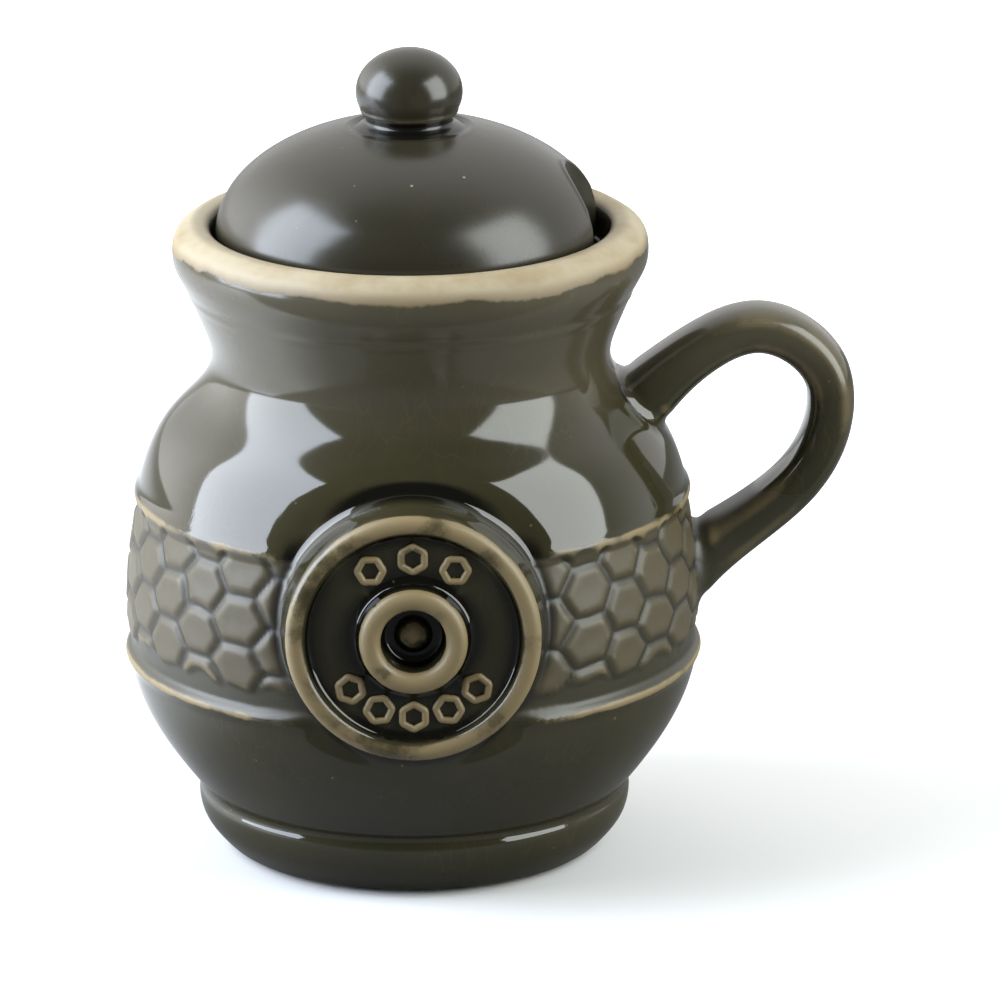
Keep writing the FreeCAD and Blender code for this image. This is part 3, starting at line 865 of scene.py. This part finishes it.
hollow = glaze.times(glaze.plus(glaze.times(edge, 0.6), pool), -1.0)
depth = glaze.math("MAXIMUM", glaze.smooth(hollow, g["Pool From"], g["Pool Full"]), glaze.times(grooves, 0.8))
patchy = glaze.smooth(glaze.plus(glaze.times(mottle, 0.4), glaze.times(cloud, 0.6)), 0.38, 0.66)
clouded = glaze.times(g["Mottle"], patchy)
plain = glaze.mix(glaze.times(clouded, clouded, 0.5), g["Olive"], g["Thin"])
dark = glaze.mix(depth, plain, g["Pooled"])
glaze.give(glaze.mix(thinness, dark, g["Thin"]), thinness)

# %% [markdown]
# ## Shader group: crazing and pinholes
#
# Glaze shrinks more than clay as it cools and cracks into fine lines, which run mostly upright on a
# round belly. Small gas bubbles leave pinholes. The group gives the lines, the pinholes, and a height.

# %% Group: crazing
craze = Group("crazing", "ShaderNodeTree", [("Scale", "Float", 330.0), ("Line Width", "Float", 0.03)],
              [("Lines", "Float"), ("Pinholes", "Float"), ("Height", "Float")])
g = craze.given
spot_at = craze.on_object()
upright = craze.vector("MULTIPLY", spot_at, (1.0, 1.0, 0.16))
sway = craze.vector("MULTIPLY", craze.noise(spot_at, 160.0, 2.0, out=1), (0.003, 0.003, 0.003))
cracks = craze.node("ShaderNodeTexVoronoi", {"feature": "DISTANCE_TO_EDGE"}, Scale=g["Scale"],
                    Vector=craze.vector("ADD", upright, sway)).outputs["Distance"]
lines = craze.minus(1.0, craze.smooth(cracks, 0.0, g["Line Width"]))
lines = craze.times(lines, craze.smooth(craze.noise(spot_at, 40.0, 2.0), 0.42, 0.62))
holes = craze.node("ShaderNodeTexVoronoi", {"feature": "F1"}, Vector=spot_at, Scale=330.0).outputs["Distance"]
holes = craze.times(craze.minus(1.0, craze.smooth(holes, 0.03, 0.12)),
                    craze.smooth(craze.noise(spot_at, 260.0, 1.0), 0.6, 0.68))
craze.give(lines, holes, craze.times(craze.plus(craze.times(lines, 0.1), holes), -1.0))

# %% [markdown]
# ## Materials
#
# A material starts from the Principled shader. Only what changes over the surface is wired into it;
# what is the same all over, such as the index of refraction, is set on the shader itself.

# %% Helper for a material
class Finish(Nodes):
    """A material: wear() sets or wires the inputs of its shader, and use() adds a group."""

    def __init__(self, name):
        self.material = bpy.data.materials.new(name)
        self.material.use_nodes = True
        super().__init__(self.material.node_tree)

    def use(self, group, **inputs):
        return self.node("ShaderNodeGroup", {"node_tree": group.tree}, **inputs).outputs

    def wear(self, **inputs):
        for key, value in inputs.items():
            self.put(self.tree.nodes["Principled BSDF"].inputs[key.replace("_", " ")], value)
        print(self.material.name, "has", len(self.tree.nodes), "nodes")


# %% [markdown]
# ## Material: the pot
#
# The belly is the glossiest part and the neck above it is softer. Towards the neck the glaze colour is
# mixed with a pale grey: a painted sheen that stands in for the light the neck and collar mirror from
# the room. The rim is bare clay with an uneven edge where the glaze was wiped off before firing, so that
# the lid doesn't stick, and a brown stain runs along that edge.

# %% Pot glaze: colour
pot_finish = Finish("olive_glaze_gloss")
f = pot_finish
broken, crazed = f.use(glaze), f.use(craze)
spot_at = f.on_object()
height_at = f.split(spot_at)[2]
wander = f.noise(spot_at, 46.0, 5.0, 0.62)
wiped = f.plus(height_at, f.times(f.minus(wander, 0.5), 0.0056))
off_axis = f.vector("LENGTH", f.vector("MULTIPLY", spot_at, (1.0, 1.0, 0.0)), out=1)
outside = f.smooth(f.plus(off_axis, f.times(f.minus(wander, 0.5), 0.0012)), 0.0336, 0.0340)
bare = f.times(f.smooth(wiped, 0.1047, 0.1054), outside)
stain = f.minus(1.0, f.smooth(wiped, 0.1049, 0.1072))
clay = f.mix(f.smooth(wander, 0.35, 0.7), CLAY, CLAY_WARM)
clay = f.mix(f.times(stain, 0.75), clay, CLAY_STAIN)
glazed = f.mix(f.times(crazed["Lines"], 0.05), broken["Color"], THIN)
glazed = f.mix(f.times(crazed["Pinholes"], 0.5), glazed, THIN)
# Painted sheen: from the shoulder up to the collar the glaze is mixed towards pale grey, in place of light
# mirrored there.
glazed = f.mix(f.smooth(height_at, 0.077, 0.09, 0.0, 0.15), glazed, NECK_SHEEN_GREY)
print("bare clay starts near", 0.1047 / MM, "mm")

# %% [markdown]
# Thin glaze is drier, so the tan edges are softer than the olive. The honeycomb band is the softest
# part: light spreads over its cells instead of standing on them as sharp patches. The slow swell in the
# bump is how a hand-dipped glaze lies, and the grain belongs to the bare clay alone.

# %% Pot glaze: softness and bump
neck_soft = f.smooth(height_at, 0.072, 0.094, 0.07, 0.16)
in_band = f.times(f.smooth(height_at, (BAND_LOW - 1.6) * MM, (BAND_LOW + 0.4) * MM),
                  f.smooth(height_at, (BAND_TOP + 1.6) * MM, (BAND_TOP - 0.4) * MM))
from_medal = f.vector("SUBTRACT", spot_at, (0, 0, MEDAL_H * MM))
from_medal = f.vector("LENGTH", f.vector("MULTIPLY", from_medal, (1, 0, 1)), out=1)
past_medal = f.math("MAXIMUM", f.smooth(from_medal, (MEDAL_R + 0.3) * MM, (MEDAL_R + 1.6) * MM),
                    f.smooth(f.split(spot_at)[1], -0.01, 0.01))
soft = f.plus(f.plus(neck_soft, f.times(broken["Thinness"], 0.4)), f.times(in_band, past_medal, 0.34))
soft = f.times(f.math("MINIMUM", soft, 0.46), f.minus(1.0, bare))
swell, grain = f.noise(spot_at, 55.0, 2.0), f.noise(spot_at, 700.0, 3.0)
height = f.plus(f.plus(f.times(swell, 0.35), f.times(crazed["Height"], 0.04)), f.times(grain, bare, 0.12))
f.wear(Base_Color=f.mix(bare, glazed, clay), Roughness=f.plus(soft, f.times(bare, 0.58)), IOR=GLAZE_IOR,
       Normal=f.node("ShaderNodeBump", Strength=0.5, Distance=0.0006, Height=height).outputs[0])

# %% [markdown]
# ## Material: the lid
#
# The lid wears the same glaze, fired a little drier, so it is satin and spreads its highlights. The two
# halves of its mould don't quite meet, which leaves a faint upright crease over the dome and the knob.

# %% Lid glaze
CREASE_WIDTH = 0.011
lid_finish = Finish("olive_glaze_satin")
f = lid_finish
broken = f.use(glaze, Olive=LID_OLIVE, Edge_From=0.08, Edge_Full=0.4, Mottle=0.15)
crazed = f.use(craze, Scale=240.0)
spot_at = f.on_object()
past_seam = f.node("ShaderNodeClamp", None, f.math("DIVIDE", f.split(spot_at)[0], CREASE_WIDTH)).outputs[0]
short_of = f.minus(1.0, past_seam)
crease_height = f.minus(1.0, f.times(short_of, short_of))
satin = f.noise(spot_at, 60.0, 4.0)
height = f.plus(f.plus(f.times(satin, 0.3), f.times(crazed["Height"], 0.12)), f.times(crease_height, 0.5))
f.wear(Base_Color=f.mix(f.times(crazed["Pinholes"], 0.8), broken["Color"], CLAY),
       Roughness=f.smooth(satin, 0.3, 0.7, 0.21, 0.28), IOR=GLAZE_IOR,
       Normal=f.node("ShaderNodeBump", Strength=0.6, Distance=0.0006, Height=height).outputs[0])

# %% [markdown]
# ## Glaze the pieces
#
# The marks take the pot's own glaze. They are grown from an empty mesh, and then every piece gets its
# two stored heights and its material.

# %% Marks
MARK_RISE = 0.4
marks = []
for name, first_turn, turn_step, count in (("marks_upper", 90 - 31, 31, 3), ("marks_lower", 270 - 50, 25, 5)):
    piece = new_piece(name, [(0, 0, 0)], [])
    grown(piece, arcs, First=math.radians(first_turn), Step=math.radians(turn_step), Count=count,
          Face=(field + MARK_RISE) * MM, Centre=MEDAL_H * MM, Material=pot_finish.material)
    face_outward(piece)
    marks.append(piece)
    print(name, len(piece.data.polygons), "faces")

# %% [markdown]
# The small marks have few points, so their heights are taken over fewer rounds and with more gain.

# %% Run of the glaze over every piece
EVEN_SPACING = 0.0005


def store_spacing(mesh):
    """Keeps how far apart the points are, against half a millimetre, for the run of the glaze."""
    co, (a, b) = coordinates(mesh), edge_ends(mesh)
    both, lengths = np.r_[a, b], np.linalg.norm(co[a] - co[b], axis=1)
    mean = np.bincount(both, np.r_[lengths, lengths]) / np.maximum(np.bincount(both), 1)
    store_floats(mesh, "spacing", np.clip(mean / EVEN_SPACING, 0.7, 6.0))


for piece, fine_rounds, broad_rounds, gain, finish in (
        (body, 5, 40, 1.0, pot_finish), (lid, 5, 40, 1.0, lid_finish),
        (marks[0], 1, 2, 4.0, pot_finish), (marks[1], 1, 2, 4.0, pot_finish)):
    store_spacing(piece.data)
    grown(piece, run, Fine=fine_rounds, Broad=broad_rounds, Gain=gain, Material=finish.material)
    values = np.zeros(len(piece.data.vertices), np.float32)
    piece.data.attributes["edge"].data.foreach_get("value", values)
    print(piece.name, "heights of its edges and hollows", np.percentile(values, (1, 50, 99)).round(3))

# %% [markdown]
# ## Hand the pieces to the frame
#
# Every piece rides on the one body, and stands for the solid whose place it takes.

# %% Ride and replace
for piece in (body, *marks):
    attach(piece, "root")
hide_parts("pot")
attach(lid, "root")
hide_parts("lid")
print("pieces", [piece.name for piece in (body, lid, *marks)])

# %% [markdown]
# ## Floor
#
# A pale floor keeps the shadow and fades to plain white away from the pot. What it throws back onto the
# glaze is not even: it is bright towards the window side at the left and the back, and dim in front,
# where a table would lie in the shade. Light Path tells the two apart, since only the camera sees the
# pale floor itself.

# %% Floor
def flat_sheet(name, left, right, front, back, height, finish):
    """A rectangle that lies flat at a height, for the floor and cards. It isn't part of the pot."""
    mesh = bpy.data.meshes.new(name)
    corners = [(left, front, height), (right, front, height), (right, back, height), (left, back, height)]
    mesh.from_pydata(corners, [], [(0, 1, 2, 3)])
    mesh.materials.append(finish.material)
    sheet = bpy.data.objects.new(name, mesh)
    bpy.context.scene.collection.objects.link(sheet)
    return sheet


paper = Finish("white_paper")
looked_at = paper.node("ShaderNodeLightPath").outputs["Is Camera Ray"]
spot_at = paper.on_object()
place = paper.split(spot_at)
to_window = paper.minus(paper.times(place[1], 0.5), place[0])
bounce = paper.mix(paper.smooth(to_window, 0.03, 0.11), (0.18, 0.18, 0.18, 1), (0.9, 0.9, 0.9, 1))
from_pot = paper.vector("LENGTH", spot_at, out=1)
paper.wear(Base_Color=paper.mix(looked_at, bounce, (0.86, 0.86, 0.86, 1)), Roughness=0.9,
           Emission_Color=(1, 1, 1, 1),
           Emission_Strength=paper.times(looked_at, paper.smooth(from_pot, 0.11, 0.34)))
flat_sheet("floor", -4, 4, -4, 4, -0.0002, paper)

# %% [markdown]
# ## Dark card
#
# A dark card is laid in front of a glossy thing in the studio, so that its lower front mirrors something
# dark and keeps its depth. Only mirrored light sees this card: the camera, the soft light and the
# shadows pass it by.

# %% Dark card
black = Finish("black_card")
black.wear(Base_Color=(0.05, 0.05, 0.05, 1), Roughness=0.9)
card = flat_sheet("dark_card", -0.7, 0.7, -1.2, -0.08, 0.001, black)
card.visible_camera = card.visible_diffuse = card.visible_shadow = False

# %% [markdown]
# ## Soft boxes
#
# Two large soft boxes stand at the left and the right, a little above the pot, so each draws one tall
# patch of light on the glaze. The left one is cooler, as daylight from a window is.

# %% Soft boxes
LOOK_AT_H, BOX_AWAY = 0.06, 0.62


def soft_box(name, azimuth, elevation, wide, high, watts, tint):
    """An area lamp that looks at the pot. Azimuth is counted from the front, positive to the right."""
    a, e = math.radians(azimuth), math.radians(elevation)
    lamp = bpy.data.lights.new(name, "AREA")
    lamp.shape, lamp.size, lamp.size_y, lamp.energy, lamp.color = "RECTANGLE", wide, high, watts, tint
    holder = bpy.data.objects.new(name, lamp)
    back = Vector((math.sin(a) * math.cos(e), -math.cos(a) * math.cos(e), math.sin(e)))
    holder.location = back * BOX_AWAY + Vector((0, 0, LOOK_AT_H))
    holder.rotation_euler = back.to_track_quat("Z", "Y").to_euler()
    bpy.context.scene.collection.objects.link(holder)
    print(name, "stands at", [round(v, 2) for v in holder.location])


soft_box("left_box", -81, 27, 0.50, 0.68, 9.2, (0.80, 0.88, 1.0))
soft_box("right_box", 66, 26, 0.44, 0.64, 5.2, (0.95, 1.0, 0.98))

# %% [markdown]
# ## Room
#
# The room is bright behind the pot and dark on the near side, which keeps the front of the glaze deep,
# and it is brightest at the far left, where the window would be. Seen straight it is plain white.

# %% Room
world = bpy.data.worlds.new("room")
bpy.context.scene.world = world
world.use_nodes = True
room = Nodes(world.node_tree)
direction = room.split(room.node("ShaderNodeTexCoord").outputs["Generated"])
behind = room.smooth(direction[1], -0.4, 0.6, 0.05, 1.0)
around = room.times(behind, room.smooth(direction[0], -0.35, -0.9, 1.0, 2.8))
seen = room.node("ShaderNodeLightPath").outputs["Is Camera Ray"]
strength = room.node("ShaderNodeMix", None, seen, None, around, 1.0).outputs[0]
room.put(room.tree.nodes["Background"].inputs["Color"], (1, 1, 1, 1))
room.put(room.tree.nodes["Background"].inputs["Strength"], strength)
bpy.context.scene.view_settings.view_transform = "Standard"
print("room has", len(room.tree.nodes), "nodes")

# %% [markdown]
# ## Camera
#
# The pot is seen from well away with a long lens, from a little above the rim, so that the mouth is a
# slim ellipse. The lens shift only moves the pot left of the middle, where the handle balances it.

# %% Camera
ELEVATION, DISTANCE, LENS, ROLL, AIM_H = 16.8, 1.5, 318.6, 0.43, 0.062
lens = bpy.data.cameras.new("camera")
lens.lens, lens.sensor_width = LENS, 36.0
lens.shift_x, lens.shift_y = 0.0878, -0.0142
lens.clip_start, lens.clip_end = 0.05, 50
camera = bpy.data.objects.new("camera", lens)
tilt = math.radians(ELEVATION)
stand = Matrix.Translation((0, -DISTANCE * math.cos(tilt), AIM_H + DISTANCE * math.sin(tilt)))
turned = Matrix.Rotation(math.pi / 2 - tilt, 4, "X") @ Matrix.Rotation(math.radians(-ROLL), 4, "Z")
camera.matrix_world = stand @ turned
bpy.context.scene.collection.objects.link(camera)
bpy.context.scene.camera = camera
print("camera at", [round(v, 3) for v in camera.matrix_world.translation])
